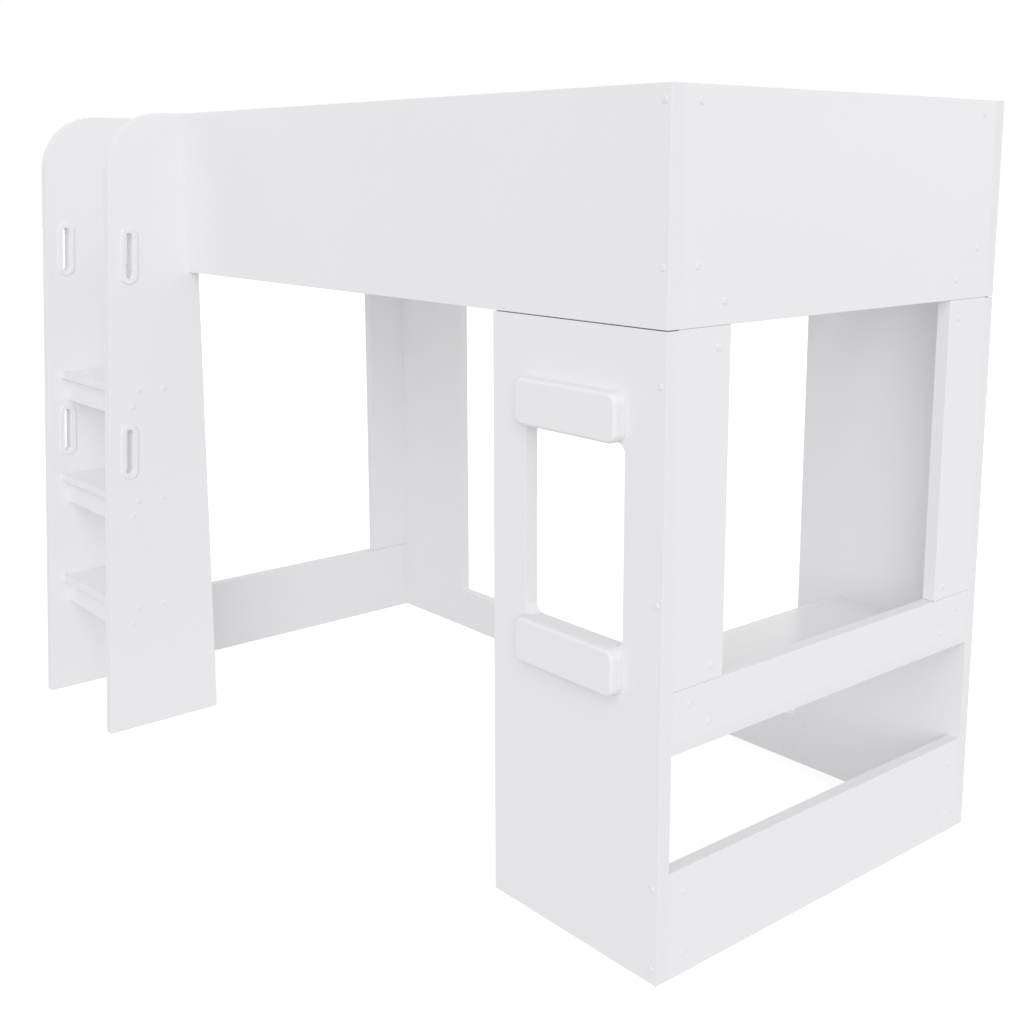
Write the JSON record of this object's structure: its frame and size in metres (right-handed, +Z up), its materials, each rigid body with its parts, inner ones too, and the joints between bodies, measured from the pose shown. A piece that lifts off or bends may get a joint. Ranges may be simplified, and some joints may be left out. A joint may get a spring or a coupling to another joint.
{
  "type": "loft bed",
  "caption": "White panel-built children's loft bed with high guards, a fixed ladder with hand slots, a front window and a play counter under the sleeping level.",
  "frame": {"origin": "centre of the bounding box, on the floor", "axes": "+X along the bed from the ladder end to the counter end, +Y from the ladder side to the back, +Z up"},
  "size_m": [2.0954, 1.2319, 1.555],
  "materials": {
    "board_white": "satin white lacquer",
    "slat_pine": "planed, white-stained",
    "dowel_beech": "fluted beech",
    "liner_white": "fine matt",
    "fastener_white": "satin white",
    "bare_steel": "zinc plated"
  },
  "bodies": {
    "root": {"back_guard": "board_white", "back_ledger": "board_white", "back_plinth": "board_white", "barrel_nuts": "fastener_white", "block_screws": "fastener_white", "connector_pins": "bare_steel", "corner_bolts": "fastener_white", "counter_apron": "board_white", "counter_shelf": "board_white", "dowels": "dowel_beech", "edge_screws": "fastener_white", "entry_rail": "board_white", "far_lower_liner_left": "liner_white", "far_lower_liner_right": "liner_white", "far_stringer": "board_white", "far_upper_liner_left": "liner_white", "far_upper_liner_right": "liner_white", "front_guard": "board_white", "front_ledger": "board_white", "front_right_post": "board_white", "ledger_screws": "fastener_white", "left_end_guard": "board_white", "left_plinth": "board_white", "lintel_block": "board_white", "lower_riser": "board_white", "lower_tread": "board_white", "middle_riser": "board_white", "middle_tread": "board_white", "near_lower_liner_left": "liner_white", "near_lower_liner_right": "liner_white", "near_stringer": "board_white", "near_upper_liner_left": "liner_white", "near_upper_liner_right": "liner_white", "rear_left_panel": "board_white", "rear_left_post": "board_white", "rear_right_panel": "board_white", "rear_right_post": "board_white", "right_end_guard": "board_white", "right_plinth": "board_white", "sill_block": "board_white", "slat_01": "slat_pine", "slat_02": "slat_pine", "slat_03": "slat_pine", "slat_04": "slat_pine", "slat_05": "slat_pine", "slat_06": "slat_pine", "slat_07": "slat_pine", "slat_08": "slat_pine", "slat_09": "slat_pine", "slat_10": "slat_pine", "slat_11": "slat_pine", "slat_12": "slat_pine", "slat_13": "slat_pine", "slat_14": "slat_pine", "slat_screws": "bare_steel", "tread_screws": "fastener_white", "upper_riser": "board_white", "upper_tread": "board_white", "window_panel": "board_white"}
  },
  "joints": []
}
